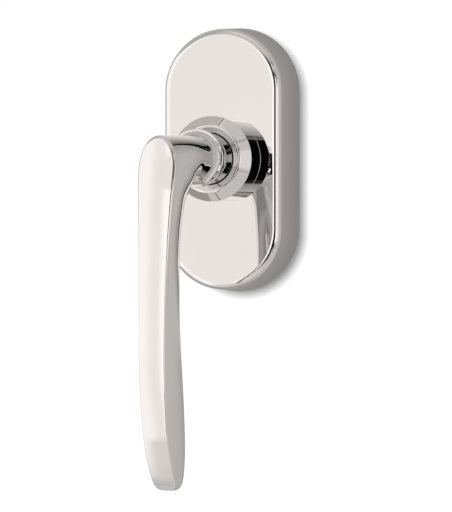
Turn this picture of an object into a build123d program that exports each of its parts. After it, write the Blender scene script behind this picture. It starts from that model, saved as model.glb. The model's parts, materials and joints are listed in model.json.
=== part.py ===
from build123d import *
import os

# Tilt-and-turn window lever handle on an oval rosette, fully assembled, lever hanging down (closed).
# Frame: origin on the spindle axis in the plane of the window profile, +Z up, the room on the -Y side,
# the spindle and the fixing screws pointing +Y into the window. "d" below is the distance out of the
# profile plane towards the room, so y = -d. Millimetres.

# ---- rosette cover: drafted oval shell -------------------------------------------------------------
COVER_HALF_W = 18.20        # outer half width at the wall
COVER_FRONT_HALF_W = 17.02  # outer half width at the front face
OVAL_C = 18.96              # height of the end arcs' centres above and below the axis
COVER_D = 14.45             # overall depth
COVER_WALL = 1.30
COVER_EDGE_R = 2.90         # rounding between front face and side wall
COVER_HOLE_R = 10.95
COVER_LIFT = 6.5            # travel of the cover along the neck when it is unclipped

# ---- collar ring -----------------------------------------------------------------------------------
COLLAR_R = 11.67
COLLAR_CYL_D = 21.78        # where the cylindrical wall ends and the bevel starts
COLLAR_TOP_R, COLLAR_TOP_D = 9.00, 24.68
COLLAR_DISH_R, COLLAR_DISH_D = 7.20, 23.60
COLLAR_BORE_R = 9.90
COLLAR_SPIGOT_R, COLLAR_SPIGOT_D = 10.90, 12.30

# ---- base plate ------------------------------------------------------------------------------------
BASE_HALF_W = 16.10
BASE_T = 5.50
BOSS_R, BOSS_D = 12.00, 11.80
TUBE_R, TUBE_D = 9.60, 20.60
TUBE_BORE_R = 8.42
POT_R, POT_D = 8.90, 9.30
SCREW_SPACING = 43.0        # vertical distance between the two fixing screws
LUG_R, LUG_L = 5.00, 10.00  # locating lugs that enter the window profile
SCREW_HOLE_R = 2.70
CSK_R = 4.95
RECESS_W, RECESS_H, RECESS_D = 11.65, 16.05, 1.40

# ---- detent ----------------------------------------------------------------------------------------
DISC_R, DISC_D0, DISC_D1 = 8.60, 2.40, 5.00
BALL_R, BALL_D = 1.75, 3.70
BALL_SEAT_Z = 9.50          # height of a ball's centre when it is seated in its notch
BALL_Z = 10.40              # height of a ball's centre when it rides on the disc's rim
NOTCH_R = 1.82
SLOT_R, SLOT_END = 1.83, 15.00
SPRING_R, SPRING_WIRE_R = 1.25, 0.20
SPRING_Z0, SPRING_Z1 = 12.20, 14.95

# ---- neck sleeve, spindle, lever -------------------------------------------------------------------
SHANK_R = 7.00
SHANK_D0 = 5.05
SQUARE_AF, SQUARE_D0 = 10.0, 2.20
FLANGE_R, FLANGE_D0, FLANGE_D1 = 7.90, 32.40, 33.80
SPIGOT_R, SPIGOT_D = 4.00, 44.0
SPINDLE_AF, SPINDLE_HOLE_AF = 7.00, 7.06
SPINDLE_IN_D, SPINDLE_OUT = 30.6, 35.0
PIN_R, PIN_D = 1.25, 14.0
NECK_R, FLARE_D, NECK_FRONT_R = 6.05, 37.9, 5.42
GRUB_D, GRUB_R = 39.6, 2.00

os.makedirs("parts", exist_ok=True)


def facing(d):
    """Sketch plane parallel to the wall at distance d: local x is +X, local y is +Z, local z points into the room."""
    return Plane(origin=(0, -d, 0), x_dir=(1, 0, 0), z_dir=(0, -1, 0))


def save(part, name):
    part.label = name
    export_step(part, f"parts/{name}.step")


def oval(half_w):
    """Overall length and height of the oval whose end arcs keep their centres."""
    return 2 * (half_w + OVAL_C), 2 * half_w


DRAFT = 4.668  # degrees, from 18.20 to 17.02 over the depth

# ================================ rosette cover =====================================================
with BuildPart() as rosette_cover:
    with BuildSketch(facing(0)):
        SlotOverall(*oval(COVER_HALF_W), rotation=90)
    extrude(amount=COVER_D, taper=DRAFT)
    fillet(rosette_cover.faces().sort_by(Axis.Y)[0].edges(), radius=COVER_EDGE_R)
    with BuildSketch(facing(0)):
        SlotOverall(*oval(COVER_HALF_W - COVER_WALL), rotation=90)
    extrude(amount=COVER_D - COVER_WALL, taper=DRAFT, mode=Mode.SUBTRACT)
    ceiling = rosette_cover.faces().filter_by(Axis.Y).sort_by(Axis.Y)[1]
    fillet(ceiling.edges(), radius=1.5)
    with BuildSketch(facing(COVER_D - COVER_WALL - 1)):
        Circle(COVER_HOLE_R)
    extrude(amount=COVER_WALL + 3, mode=Mode.SUBTRACT)
save(rosette_cover.part, "rosette_cover")

# ================================ collar ring =======================================================
# Turned ring seated on the cover's face: cylindrical wall, bevel up to a rounded crest, shallow dish
# down to the lip around the neck.
with BuildPart() as collar_ring:
    with BuildSketch(Plane.YZ) as collar_profile:
        with BuildLine():
            Polyline(
                (-COLLAR_SPIGOT_D, COLLAR_BORE_R),
                (-COLLAR_SPIGOT_D, COLLAR_SPIGOT_R),
                (-COVER_D, COLLAR_SPIGOT_R),
                (-COVER_D, COLLAR_R),
                (-COLLAR_CYL_D, COLLAR_R),
                (-COLLAR_TOP_D, COLLAR_TOP_R),
                (-COLLAR_DISH_D, COLLAR_DISH_R),
                (-21.3, COLLAR_DISH_R),
                (-21.3, COLLAR_BORE_R),
                (-COLLAR_SPIGOT_D, COLLAR_BORE_R),
            )
        make_face()
        crest = collar_profile.vertices().filter_by(lambda v: abs(v.X + COLLAR_TOP_D) < 0.01 or abs(v.Y + COLLAR_TOP_D) < 0.01)
        fillet(crest, radius=0.85)
    revolve(axis=Axis.Y)
save(collar_ring.part, "collar_ring")

# push-on locking ring behind the cover's face, holding the collar's spigot
with BuildPart() as collar_lock_ring:
    with BuildSketch(facing(12.35)):
        Circle(12.4)
        Circle(COLLAR_SPIGOT_R + 0.02, mode=Mode.SUBTRACT)
        with PolarLocations(12.4, 8):
            RectangleRounded(1.6, 1.2, 0.3, mode=Mode.SUBTRACT)
    extrude(amount=0.75)
save(collar_lock_ring.part, "collar_lock_ring")

# ================================ base plate ========================================================
with BuildPart() as base_plate:
    with BuildSketch(facing(0)):
        SlotOverall(*oval(BASE_HALF_W), rotation=90)
    extrude(amount=BASE_T)
    # central boss, guide tube for the neck, and ribs over the detent slots
    with BuildSketch(facing(BASE_T)):
        Circle(BOSS_R)
    extrude(amount=BOSS_D - BASE_T)
    with BuildSketch(facing(BASE_T)):
        Rectangle(6.4, 2 * 16.2)
    extrude(amount=1.9)
    with BuildSketch(facing(BOSS_D)):
        Circle(TUBE_R)
    extrude(amount=TUBE_D - BOSS_D)
    # locating lugs on the back
    with BuildSketch(facing(0)):
        with Locations((0, SCREW_SPACING / 2), (0, -SCREW_SPACING / 2)):
            Circle(LUG_R)
    extrude(amount=-LUG_L)
    # screw holes, countersunk from the front
    with BuildSketch(facing(BASE_T)):
        with Locations((0, SCREW_SPACING / 2), (0, -SCREW_SPACING / 2)):
            Circle(SCREW_HOLE_R)
    extrude(amount=-(BASE_T + LUG_L), mode=Mode.SUBTRACT)
    with BuildSketch(facing(BASE_T)):
        with Locations((0, SCREW_SPACING / 2), (0, -SCREW_SPACING / 2)):
            Circle(CSK_R)
    extrude(amount=-(CSK_R - SCREW_HOLE_R), taper=45, mode=Mode.SUBTRACT)
    # recess for the back plate, pot for the detent, slots for balls and springs, bore for the bush
    with BuildSketch(facing(0)):
        RectangleRounded(2 * RECESS_W, 2 * RECESS_H, 3.0)
    extrude(amount=RECESS_D, mode=Mode.SUBTRACT)
    with BuildSketch(facing(0)):
        Circle(POT_R)
    extrude(amount=POT_D, mode=Mode.SUBTRACT)
    with BuildSketch(facing(0)):
        Rectangle(2 * SLOT_R, 2 * SLOT_END)
    extrude(amount=BALL_D, mode=Mode.SUBTRACT)
    with BuildSketch(Plane.XY.offset(-SLOT_END)):
        with Locations((0, -BALL_D)):
            Circle(SLOT_R)
    extrude(amount=2 * SLOT_END, mode=Mode.SUBTRACT)
    with BuildSketch(facing(0)):
        Circle(TUBE_BORE_R)
    extrude(amount=TUBE_D + 1, mode=Mode.SUBTRACT)
    # threaded holes for the back plate's screws
    with BuildSketch(facing(0)):
        with GridLocations(18.6, 25.6, 2, 2):
            Circle(1.27)
    extrude(amount=5.0, mode=Mode.SUBTRACT)
    # side pockets for the cover clips
    with BuildSketch(facing(0.9)):
        with Locations((16.1, 0), (-16.1, 0)):
            Rectangle(2.6, 9.0)
    extrude(amount=10, mode=Mode.SUBTRACT)
save(base_plate.part, "base_plate")

# steel plate that closes the detent pot from behind
with BuildPart() as back_plate:
    with BuildSketch(facing(0.2)):
        RectangleRounded(2 * 11.5, 2 * 15.9, 2.9)
        Circle(5.6, mode=Mode.SUBTRACT)
        with GridLocations(18.6, 25.6, 2, 2):
            Circle(1.35, mode=Mode.SUBTRACT)
    extrude(amount=1.15)
    with BuildSketch(facing(0.2)):
        with GridLocations(18.6, 25.6, 2, 2):
            Circle(2.25)
    extrude(amount=0.9, taper=45, mode=Mode.SUBTRACT)
save(back_plate.part, "back_plate")

with BuildPart() as back_plate_screws:
    for sx in (-9.3, 9.3):
        for sz in (-12.8, 12.8):
            with BuildSketch(facing(0.2)):
                with Locations((sx, sz)):
                    Circle(2.15)
            extrude(amount=0.9, taper=45)
            with BuildSketch(facing(1.05)):
                with Locations((sx, sz)):
                    Circle(1.25)
            extrude(amount=3.75)
            with BuildSketch(facing(0.2)):
                with Locations((sx, sz)):
                    Rectangle(2.2, 0.5)
                    Rectangle(0.5, 2.2)
            extrude(amount=0.7, mode=Mode.SUBTRACT)
save(back_plate_screws.part, "back_plate_screws")

# bowed leaf springs in the base plate's sides, pressing on the inside of the cover
with BuildPart() as cover_clips:
    with BuildSketch(Plane.XY.offset(-4.0)):
        for s in (-1, 1):
            with BuildLine():
                Polyline(
                    (s * 14.85, -1.0),
                    (s * 16.02, -1.0),
                    (s * 16.54, -2.9),
                    (s * 16.54, -3.5),
                    (s * 15.95, -5.0),
                    (s * 15.58, -4.85),
                    (s * 16.12, -3.42),
                    (s * 16.12, -2.98),
                    (s * 15.70, -1.4),
                    (s * 14.85, -1.4),
                    close=True,
                )
            make_face()
    extrude(amount=8.0)
save(cover_clips.part, "cover_clips")

# ================================ bearing stack =====================================================
with BuildPart() as neck_bush:
    with BuildSketch(Plane.YZ):
        with BuildLine():
            Polyline(
                (-8.45, SHANK_R + 0.05),
                (-8.45, 8.70),
                (-9.25, 8.70),
                (-9.25, 8.40),
                (-20.9, 8.40),
                (-20.9, SHANK_R + 0.05),
                close=True,
            )
        make_face()
    revolve(axis=Axis.Y)
save(neck_bush.part, "neck_bush")

with BuildPart() as thrust_washer:
    with BuildSketch(facing(7.97)):
        Circle(8.65)
        Circle(SHANK_R + 0.10, mode=Mode.SUBTRACT)
    extrude(amount=0.45)
save(thrust_washer.part, "thrust_washer")

with BuildPart() as disc_spring:
    with BuildSketch(Plane.YZ):
        with BuildLine():
            Polyline((-7.26, 8.60), (-7.56, 8.60), (-7.94, 7.10), (-7.64, 7.10), close=True)
        make_face()
    revolve(axis=Axis.Y)
save(disc_spring.part, "disc_spring")

# external circlip in the shank's groove, with its two eyes
with BuildPart() as retaining_ring:
    with BuildSketch(facing(6.22)):
        Circle(8.30)
        with Locations((1.9, 7.25), (-1.9, 7.25)):
            Circle(1.30)
        Circle(6.72, mode=Mode.SUBTRACT)
        with Locations((0, 8.2)):
            Rectangle(2.2, 3.6, mode=Mode.SUBTRACT)
        with Locations((2.0, 7.35), (-2.0, 7.35)):
            Circle(0.50, mode=Mode.SUBTRACT)
    extrude(amount=1.0)
save(retaining_ring.part, "retaining_ring")

# ================================ detent ============================================================
with BuildPart() as detent_disc:
    with BuildSketch(facing(DISC_D0)):
        Circle(DISC_R)
        Rectangle(SQUARE_AF + 0.06, SQUARE_AF + 0.06, mode=Mode.SUBTRACT)
        with PolarLocations(BALL_SEAT_Z, 4):
            Circle(NOTCH_R, mode=Mode.SUBTRACT)
    extrude(amount=DISC_D1 - DISC_D0)
save(detent_disc.part, "detent_disc")

with BuildPart(Plane(origin=(0, -BALL_D, BALL_Z))) as detent_ball_upper:
    Sphere(BALL_R)
save(detent_ball_upper.part, "detent_ball_upper")

with BuildPart(Plane(origin=(0, -BALL_D, -BALL_Z))) as detent_ball_lower:
    Sphere(BALL_R)
save(detent_ball_lower.part, "detent_ball_lower")

SPRING_LEN = SPRING_Z1 - SPRING_Z0 - 2 * SPRING_WIRE_R
with BuildPart() as detent_spring_upper:
    with BuildLine(Plane(origin=(0, -BALL_D, SPRING_Z0 + SPRING_WIRE_R))) as coil_u:
        Helix(pitch=SPRING_LEN / 4.0, height=SPRING_LEN, radius=SPRING_R)
    with BuildSketch(Plane(origin=coil_u.line @ 0, z_dir=coil_u.line % 0)):
        Circle(SPRING_WIRE_R)
    sweep(path=coil_u.line, is_frenet=True)
save(detent_spring_upper.part, "detent_spring_upper")

with BuildPart() as detent_spring_lower:
    with BuildLine(Plane(origin=(0, -BALL_D, -SPRING_Z1 + SPRING_WIRE_R))) as coil_l:
        Helix(pitch=SPRING_LEN / 4.0, height=SPRING_LEN, radius=SPRING_R)
    with BuildSketch(Plane(origin=coil_l.line @ 0, z_dir=coil_l.line % 0)):
        Circle(SPRING_WIRE_R)
    sweep(path=coil_l.line, is_frenet=True)
save(detent_spring_lower.part, "detent_spring_lower")

# ================================ neck sleeve =======================================================
# Turned sleeve that the lever is mounted on: square end for the detent disc, shank in the bush,
# flange that shows as the small ring behind the lever's neck, spigot inside the lever.
with BuildPart() as neck_sleeve:
    with BuildSketch(facing(SQUARE_D0)):
        Rectangle(SQUARE_AF, SQUARE_AF)
        Circle(SHANK_R, mode=Mode.INTERSECT)
    extrude(amount=SHANK_D0 - SQUARE_D0)
    with BuildSketch(Plane.YZ) as sleeve_profile:
        with BuildLine():
            Polyline(
                (-SHANK_D0, 0),
                (-SHANK_D0, SHANK_R),
                (-6.18, SHANK_R),
                (-6.18, 6.70),
                (-7.26, 6.70),
                (-7.26, SHANK_R),
                (-FLANGE_D0, SHANK_R),
                (-FLANGE_D0, FLANGE_R),
                (-FLANGE_D1, FLANGE_R),
                (-FLANGE_D1, SPIGOT_R),
                (-SPIGOT_D, SPIGOT_R),
                (-SPIGOT_D, 0),
                close=True,
            )
        make_face()
    revolve(axis=Axis.Y)
    flange_edges = neck_sleeve.edges().filter_by(GeomType.CIRCLE).filter_by(lambda e: abs(e.radius - FLANGE_R) < 0.01)
    fillet(flange_edges, radius=0.30)
    # square hole for the spindle, cross hole for its pin, pocket for the grub screw
    with BuildSketch(facing(SQUARE_D0)):
        Rectangle(SPINDLE_HOLE_AF, SPINDLE_HOLE_AF)
    extrude(amount=SPINDLE_IN_D + 0.2 - SQUARE_D0, mode=Mode.SUBTRACT)
    with BuildSketch(Plane.YZ.offset(-8)):
        with Locations((-PIN_D, 0)):
            Circle(PIN_R + 0.02)
    extrude(amount=16, mode=Mode.SUBTRACT)
    with BuildSketch(Plane.XY.offset(-SPIGOT_R - 0.5)):
        with Locations((0, -GRUB_D)):
            Circle(GRUB_R + 0.05)
    extrude(amount=1.9, mode=Mode.SUBTRACT)
save(neck_sleeve.part, "neck_sleeve")

with BuildPart() as spindle:
    with BuildSketch(facing(SPINDLE_IN_D)) as spindle_section:
        Rectangle(SPINDLE_AF, SPINDLE_AF)
        chamfer(spindle_section.vertices(), length=0.45)
    extrude(amount=-(SPINDLE_IN_D + SPINDLE_OUT))
    chamfer(spindle.faces().sort_by(Axis.Y)[-1].edges(), length=0.5)
    with BuildSketch(Plane.YZ.offset(-8)):
        with Locations((-PIN_D, 0)):
            Circle(PIN_R + 0.02)
    extrude(amount=16, mode=Mode.SUBTRACT)
save(spindle.part, "spindle")

with BuildPart() as spindle_pin:
    with BuildSketch(Plane.YZ.offset(-6.7)):
        with Locations((-PIN_D, 0)):
            Circle(PIN_R)
    extrude(amount=13.4)
    chamfer(spindle_pin.edges().filter_by(GeomType.CIRCLE), length=0.25)
save(spindle_pin.part, "spindle_pin")

# ================================ lever =============================================================
# Side view of the blade as (d, z): the front sweeps out towards the middle of its length and tucks
# back in to the thin lower end.
FRONT = [
    (60.35, 5.05), (60.75, 2.0), (61.25, -2.0), (61.95, -5.2), (62.70, -10.3), (63.45, -18.9),
    (64.25, -29.1), (64.75, -38.0), (64.95, -47.0), (64.75, -56.5), (64.20, -62.5), (63.30, -67.6),
    (62.20, -72.9), (60.50, -77.7), (58.95, -80.8), (57.35, -83.6), (55.45, -85.9), (54.55, -86.7),
]
REAR = [
    (52.55, -86.7), (51.60, -85.9), (50.75, -84.6), (50.15, -82.6), (49.80, -79.0), (49.85, -75.3),
    (50.40, -70.0), (51.10, -64.8), (51.90, -59.6), (52.65, -54.5), (53.40, -49.4), (54.10, -44.3),
    (54.65, -39.2), (54.95, -34.0), (55.25, -29.0), (55.45, -24.0), (55.20, -19.5), (54.60, -15.5),
    (53.30, -11.6), (50.60, -8.6), (47.00, -6.5), (43.00, -5.7),
]
# Front view as (half width, z): rounded arch at the head, gentle taper to the lower end.
OUTLINE = [
    (2.40, 4.35), (3.55, 3.10), (4.55, 0.90), (5.10, -1.5), (5.24, -4.0), (5.05, -8.3), (4.72, -13.9),
    (4.38, -19.5), (4.05, -26.6), (3.78, -34.2), (3.63, -41.8), (3.54, -50.0), (3.52, -59.0),
    (3.45, -67.4), (3.33, -74.5), (3.22, -80.8), (3.05, -84.2), (2.95, -86.7),
]
with BuildPart() as lever:
    with BuildSketch(Plane.YZ):
        with BuildLine():
            Spline(*[(-d, z) for d, z in FRONT])
            Line((-FRONT[-1][0], FRONT[-1][1]), (-REAR[0][0], REAR[0][1]))
            Spline(*[(-d, z) for d, z in REAR])
            Polyline((-REAR[-1][0], REAR[-1][1]), (-43.0, 5.72), (-FRONT[0][0], FRONT[0][1]))
        make_face()
    extrude(amount=5.6, both=True)
    with BuildSketch(Plane.XZ):
        with BuildLine():
            Spline(*[(-w, z) for w, z in reversed(OUTLINE)], (0, 5.20), *OUTLINE)
            Line(OUTLINE[-1], (-OUTLINE[-1][0], OUTLINE[-1][1]))
        make_face()
    extrude(amount=80, mode=Mode.INTERSECT)
    # round neck with a flare that seats on the sleeve's flange
    with BuildSketch(Plane.YZ):
        with BuildLine():
            Polyline((-56.0, NECK_FRONT_R), (-56.0, 0), (-(FLANGE_D1 + 0.02), 0), (-(FLANGE_D1 + 0.02), FLANGE_R - 0.05))
            Spline((-(FLANGE_D1 + 0.02), FLANGE_R - 0.05), (-34.50, 6.88), (-35.50, 6.36), (-36.70, 6.13), (-FLARE_D, NECK_R))
            Line((-FLARE_D, NECK_R), (-56.0, NECK_FRONT_R))
        make_face()
    revolve(axis=Axis.Y)
    # socket for the sleeve's spigot and tapped hole for the grub screw on the underside
    with BuildSketch(facing(FLANGE_D1)):
        Circle(SPIGOT_R + 0.03)
    extrude(amount=SPIGOT_D + 0.3 - FLANGE_D1, mode=Mode.SUBTRACT)
    with BuildSketch(Plane.XY.offset(-8)):
        with Locations((0, -GRUB_D)):
            Circle(GRUB_R + 0.02)
    extrude(amount=6, mode=Mode.SUBTRACT)
save(lever.part, "lever")

# headless hexagon-socket screw that locks the lever on the sleeve
with BuildPart() as lever_grub_screw:
    with BuildSketch(Plane.XY.offset(-5.75)):
        with Locations((0, -GRUB_D)):
            Circle(GRUB_R)
    extrude(amount=3.1)
    with BuildSketch(Plane.XY.offset(-5.75)):
        with Locations((0, -GRUB_D)):
            RegularPolygon(radius=1.0, side_count=6, major_radius=False)
    extrude(amount=1.6, mode=Mode.SUBTRACT)
save(lever_grub_screw.part, "lever_grub_screw")

# ================================ fixing screws =====================================================
HEAD_D = BASE_T - 0.10
with BuildPart() as fixing_screws:
    with BuildSketch(Plane.YZ):
        with BuildLine():
            Polyline(
                (-HEAD_D, SCREW_SPACING / 2),
                (-HEAD_D, SCREW_SPACING / 2 + 4.60),
                (-HEAD_D + 0.15, SCREW_SPACING / 2 + 4.60),
                (-HEAD_D + 2.55, SCREW_SPACING / 2 + 2.20),
                (10.5, SCREW_SPACING / 2 + 2.20),
                (10.5, SCREW_SPACING / 2 + 2.50),
                (33.9, SCREW_SPACING / 2 + 2.50),
                (34.6, SCREW_SPACING / 2 + 1.80),
                (34.6, SCREW_SPACING / 2),
                close=True,
            )
        make_face()
    revolve(axis=Axis((0, 0, SCREW_SPACING / 2), (0, 1, 0)))
    with BuildSketch(facing(HEAD_D)):
        with Locations((0, SCREW_SPACING / 2)):
            Rectangle(4.6, 0.9)
            Rectangle(0.9, 4.6)
    extrude(amount=-1.9, taper=8, mode=Mode.SUBTRACT)
    mirror(about=Plane.XY)
save(fixing_screws.part, "fixing_screws")
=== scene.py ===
import json
import math

import bpy
import numpy as np
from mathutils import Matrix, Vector


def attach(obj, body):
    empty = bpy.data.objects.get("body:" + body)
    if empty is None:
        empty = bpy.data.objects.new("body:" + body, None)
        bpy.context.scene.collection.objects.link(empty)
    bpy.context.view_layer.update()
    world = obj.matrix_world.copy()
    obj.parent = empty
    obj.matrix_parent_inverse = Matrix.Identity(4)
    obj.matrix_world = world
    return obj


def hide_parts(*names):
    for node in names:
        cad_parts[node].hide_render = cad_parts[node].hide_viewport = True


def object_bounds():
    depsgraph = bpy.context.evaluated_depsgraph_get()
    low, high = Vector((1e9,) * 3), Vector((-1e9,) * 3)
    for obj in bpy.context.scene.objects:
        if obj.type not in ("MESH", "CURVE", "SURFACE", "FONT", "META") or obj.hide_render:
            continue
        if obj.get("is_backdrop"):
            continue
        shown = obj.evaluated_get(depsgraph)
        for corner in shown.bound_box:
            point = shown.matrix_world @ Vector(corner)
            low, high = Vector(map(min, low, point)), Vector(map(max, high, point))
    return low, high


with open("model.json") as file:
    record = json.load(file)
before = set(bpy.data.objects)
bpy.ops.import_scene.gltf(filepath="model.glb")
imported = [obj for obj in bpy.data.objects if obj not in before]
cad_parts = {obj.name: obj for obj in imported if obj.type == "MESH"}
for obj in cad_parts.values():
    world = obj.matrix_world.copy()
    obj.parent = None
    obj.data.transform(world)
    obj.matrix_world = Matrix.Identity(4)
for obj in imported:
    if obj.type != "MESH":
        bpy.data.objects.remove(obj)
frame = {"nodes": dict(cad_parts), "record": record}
cad_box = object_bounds()
NODES = frame["nodes"]

# Everything below is worked out in millimetres as (x, d, z), d being the distance out from the wall,
# and turned into metres in the frame, where y = -d.


# ====================================================================================================
# Curves
# ====================================================================================================
def cubic(t, v):
    """Natural cubic spline through (t, v), straight past its ends."""
    t, v = np.asarray(t, float), np.asarray(v, float)
    n, h = len(t), np.diff(t)
    A, b = np.eye(n), np.zeros(n)
    for i in range(1, n - 1):
        A[i, i - 1 : i + 2] = h[i - 1], 2 * (h[i - 1] + h[i]), h[i]
        b[i] = 6 * ((v[i + 1] - v[i]) / h[i] - (v[i] - v[i - 1]) / h[i - 1])
    M = np.linalg.solve(A, b)
    s0 = (v[1] - v[0]) / h[0] - h[0] * (2 * M[0] + M[1]) / 6
    s1 = (v[-1] - v[-2]) / h[-1] + h[-1] * (M[-2] + 2 * M[-1]) / 6

    def f(x):
        x = np.asarray(x, float)
        i = np.clip(np.searchsorted(t, x) - 1, 0, n - 2)
        H, a, c = h[i], t[i + 1] - x, x - t[i]
        mid = (M[i] * a**3 + M[i + 1] * c**3) / (6 * H) + (v[i] / H - M[i] * H / 6) * a + (v[i + 1] / H - M[i + 1] * H / 6) * c
        return np.where(x < t[0], v[0] + s0 * (x - t[0]), np.where(x > t[-1], v[-1] + s1 * (x - t[-1]), mid))

    return f


def smoothstep(t, a, b):
    t = np.clip((t - a) / (b - a), 0, 1)
    return t * t * (3 - 2 * t)


# ====================================================================================================
# Meshes from patches: (points in mm, unit normals, faces). Points that coincide are welded, and each
# face corner keeps its patch's exact normal.
# ====================================================================================================
def patches_object(name, patches, material, body=None, replaces=()):
    pts, nrm, faces, base = [], [], [], 0
    for p, n, f in patches:
        p, n = np.asarray(p, float), np.asarray(n, float)
        pts.append(p)
        nrm.append(n / np.maximum(np.linalg.norm(n, axis=1, keepdims=True), 1e-12))
        faces += [[i + base for i in face] for face in f]
        base += len(p)
    pts, nrm = np.concatenate(pts), np.concatenate(nrm)
    key = np.round(pts / 2e-4).astype(np.int64)
    _, first, back = np.unique(key, axis=0, return_index=True, return_inverse=True)
    back = back.reshape(-1)
    verts = pts[first]
    good_faces, corner_normals = [], []
    seen = set()
    for face in faces:
        ids, ns = [], []
        for i in face:
            j = int(back[i])
            if j in ids:
                continue
            ids.append(j)
            ns.append(i)
        if len(ids) < 3:
            continue
        k = tuple(sorted(ids))
        if k in seen:
            continue
        seen.add(k)
        a, b, c = verts[ids[0]], verts[ids[1]], verts[ids[2]]
        fn = np.cross(b - a, c - a)
        if len(ids) == 4:
            fn = fn + np.cross(c - a, verts[ids[3]] - a)
        if fn @ nrm[ns].sum(0) < 0:
            ids, ns = ids[::-1], ns[::-1]
        good_faces.append(ids)
        corner_normals += ns
    cn = nrm[corner_normals]
    to_m = lambda q: np.stack([q[:, 0], -q[:, 1], q[:, 2]], 1)
    used = np.zeros(len(verts), bool)
    for f in good_faces:
        used[f] = True
    remap = np.cumsum(used) - 1
    verts = to_m(verts[used]) / 1000
    # the change from (x, d, z) to (x, -d, z) mirrors, so each face turns round
    start = 0
    out_faces, out_cn = [], []
    for f in good_faces:
        k = len(f)
        out_faces.append([int(remap[i]) for i in f][::-1])
        out_cn.append(cn[start : start + k][::-1])
        start += k
    cn = to_m(np.concatenate(out_cn))
    mesh = bpy.data.meshes.new(name)
    mesh.from_pydata(verts.tolist(), [], out_faces)
    mesh.polygons.foreach_set("use_smooth", [True] * len(mesh.polygons))
    mesh.update()
    mesh.normals_split_custom_set(cn.tolist())
    mesh.materials.append(material)
    obj = bpy.data.objects.new(name, mesh)
    bpy.context.scene.collection.objects.link(obj)
    if body:
        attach(obj, body)
    if replaces:
        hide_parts(*replaces)
    return obj


def filleted(points, radii, closed=True, seg=8):
    """Polyline (d, r) with every corner rounded: samples and normals. The solid is on the left when
    walking the points, so the normal points to the right."""
    P = np.asarray(points, float)
    n = len(P)
    out_p, out_n = [], []
    for i in range(n):
        if not closed and i in (0, n - 1):
            e = P[1] - P[0] if i == 0 else P[-1] - P[-2]
            e = e / np.linalg.norm(e)
            out_p.append(P[i])
            out_n.append([e[1], -e[0]])
            continue
        a, b, c = P[i - 1], P[i], P[(i + 1) % n]
        u, v = (b - a) / np.linalg.norm(b - a), (c - b) / np.linalg.norm(c - b)
        turn = math.atan2(u[0] * v[1] - u[1] * v[0], u @ v)
        nu, nv = np.array([u[1], -u[0]]), np.array([v[1], -v[0]])
        r = radii[i] if hasattr(radii, "__len__") else radii
        t = r * abs(math.tan(turn / 2))
        if abs(turn) < 0.02 or r <= 0:
            m = nu + nv
            out_p.append(b)
            out_n.append(m / np.linalg.norm(m))
            continue
        t = min(t, 0.48 * np.linalg.norm(b - a), 0.48 * np.linalg.norm(c - b))
        r = t / abs(math.tan(turn / 2))
        side = -1 if turn > 0 else 1
        centre = b - u * t + nu * side * r
        k = max(3, int(seg * abs(turn) / (math.pi / 2)) + 1)
        for j in range(k + 1):
            w = j / k * turn
            cs, sn = math.cos(w), math.sin(w)
            m = np.array([cs * nu[0] - sn * nu[1], sn * nu[0] + cs * nu[1]])
            out_p.append(centre - side * r * m)
            out_n.append(m)
    return np.array(out_p), np.array(out_n)


def filleted_right(points, radii, seg=8):
    """The same for an open line with the solid on the right."""
    rad = radii[::-1] if hasattr(radii, "__len__") else radii
    p, n = filleted(points[::-1], rad, closed=False, seg=seg)
    return p[::-1], n[::-1]


def rings_patch(rings, closed):
    """rings: list of (points Nx3, normals Nx3), each a closed ring of N points."""
    N = len(rings[0][0])
    pts = np.concatenate([r[0] for r in rings])
    nrm = np.concatenate([r[1] for r in rings])
    faces = []
    count = len(rings)
    for i in range(count if closed else count - 1):
        a, b = i * N, ((i + 1) % count) * N
        for j in range(N):
            k = (j + 1) % N
            faces.append([a + j, a + k, b + k, b + j])
    return pts, nrm, faces


def lathe(profile, N=160, closed=True):
    """Turned piece about the d axis. profile: (points (d, r), normals)."""
    P, M = profile
    a = np.arange(N) * 2 * math.pi / N
    c, s = np.cos(a), np.sin(a)
    rings = []
    for (d, r), (nd, nr) in zip(P, M):
        rings.append((np.stack([r * c, np.full(N, d), r * s], 1), np.stack([nr * c, np.full(N, nd), nr * s], 1)))
    return rings_patch(rings, closed)


# ====================================================================================================
# Materials
# ====================================================================================================
def node(nt, kind, **values):
    n = nt.nodes.new(kind)
    for k, v in values.items():
        if k in ("operation", "data_type", "blend_type", "noise_dimensions", "interpolation_type", "feature", "distance", "clamp", "use_clamp"):
            setattr(n, k, v)
        else:
            n.inputs[k.replace("_", " ")].default_value = v
    return n


def new_material(name):
    m = bpy.data.materials.new(name)
    m.use_nodes = True
    nt = m.node_tree
    for n in list(nt.nodes):
        nt.nodes.remove(n)
    out = nt.nodes.new("ShaderNodeOutputMaterial")
    bsdf = nt.nodes.new("ShaderNodeBsdfPrincipled")
    nt.links.new(bsdf.outputs[0], out.inputs[0])
    tex = nt.nodes.new("ShaderNodeTexCoord")
    return m, nt, bsdf, tex


def ramp(nt, source, lo, hi, a, b):
    """Map a 0..1 texture value between two numbers."""
    mr = nt.nodes.new("ShaderNodeMapRange")
    mr.inputs["From Min"].default_value, mr.inputs["From Max"].default_value = lo, hi
    mr.inputs["To Min"].default_value, mr.inputs["To Max"].default_value = a, b
    nt.links.new(source, mr.inputs["Value"])
    return mr.outputs[0]


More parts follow.
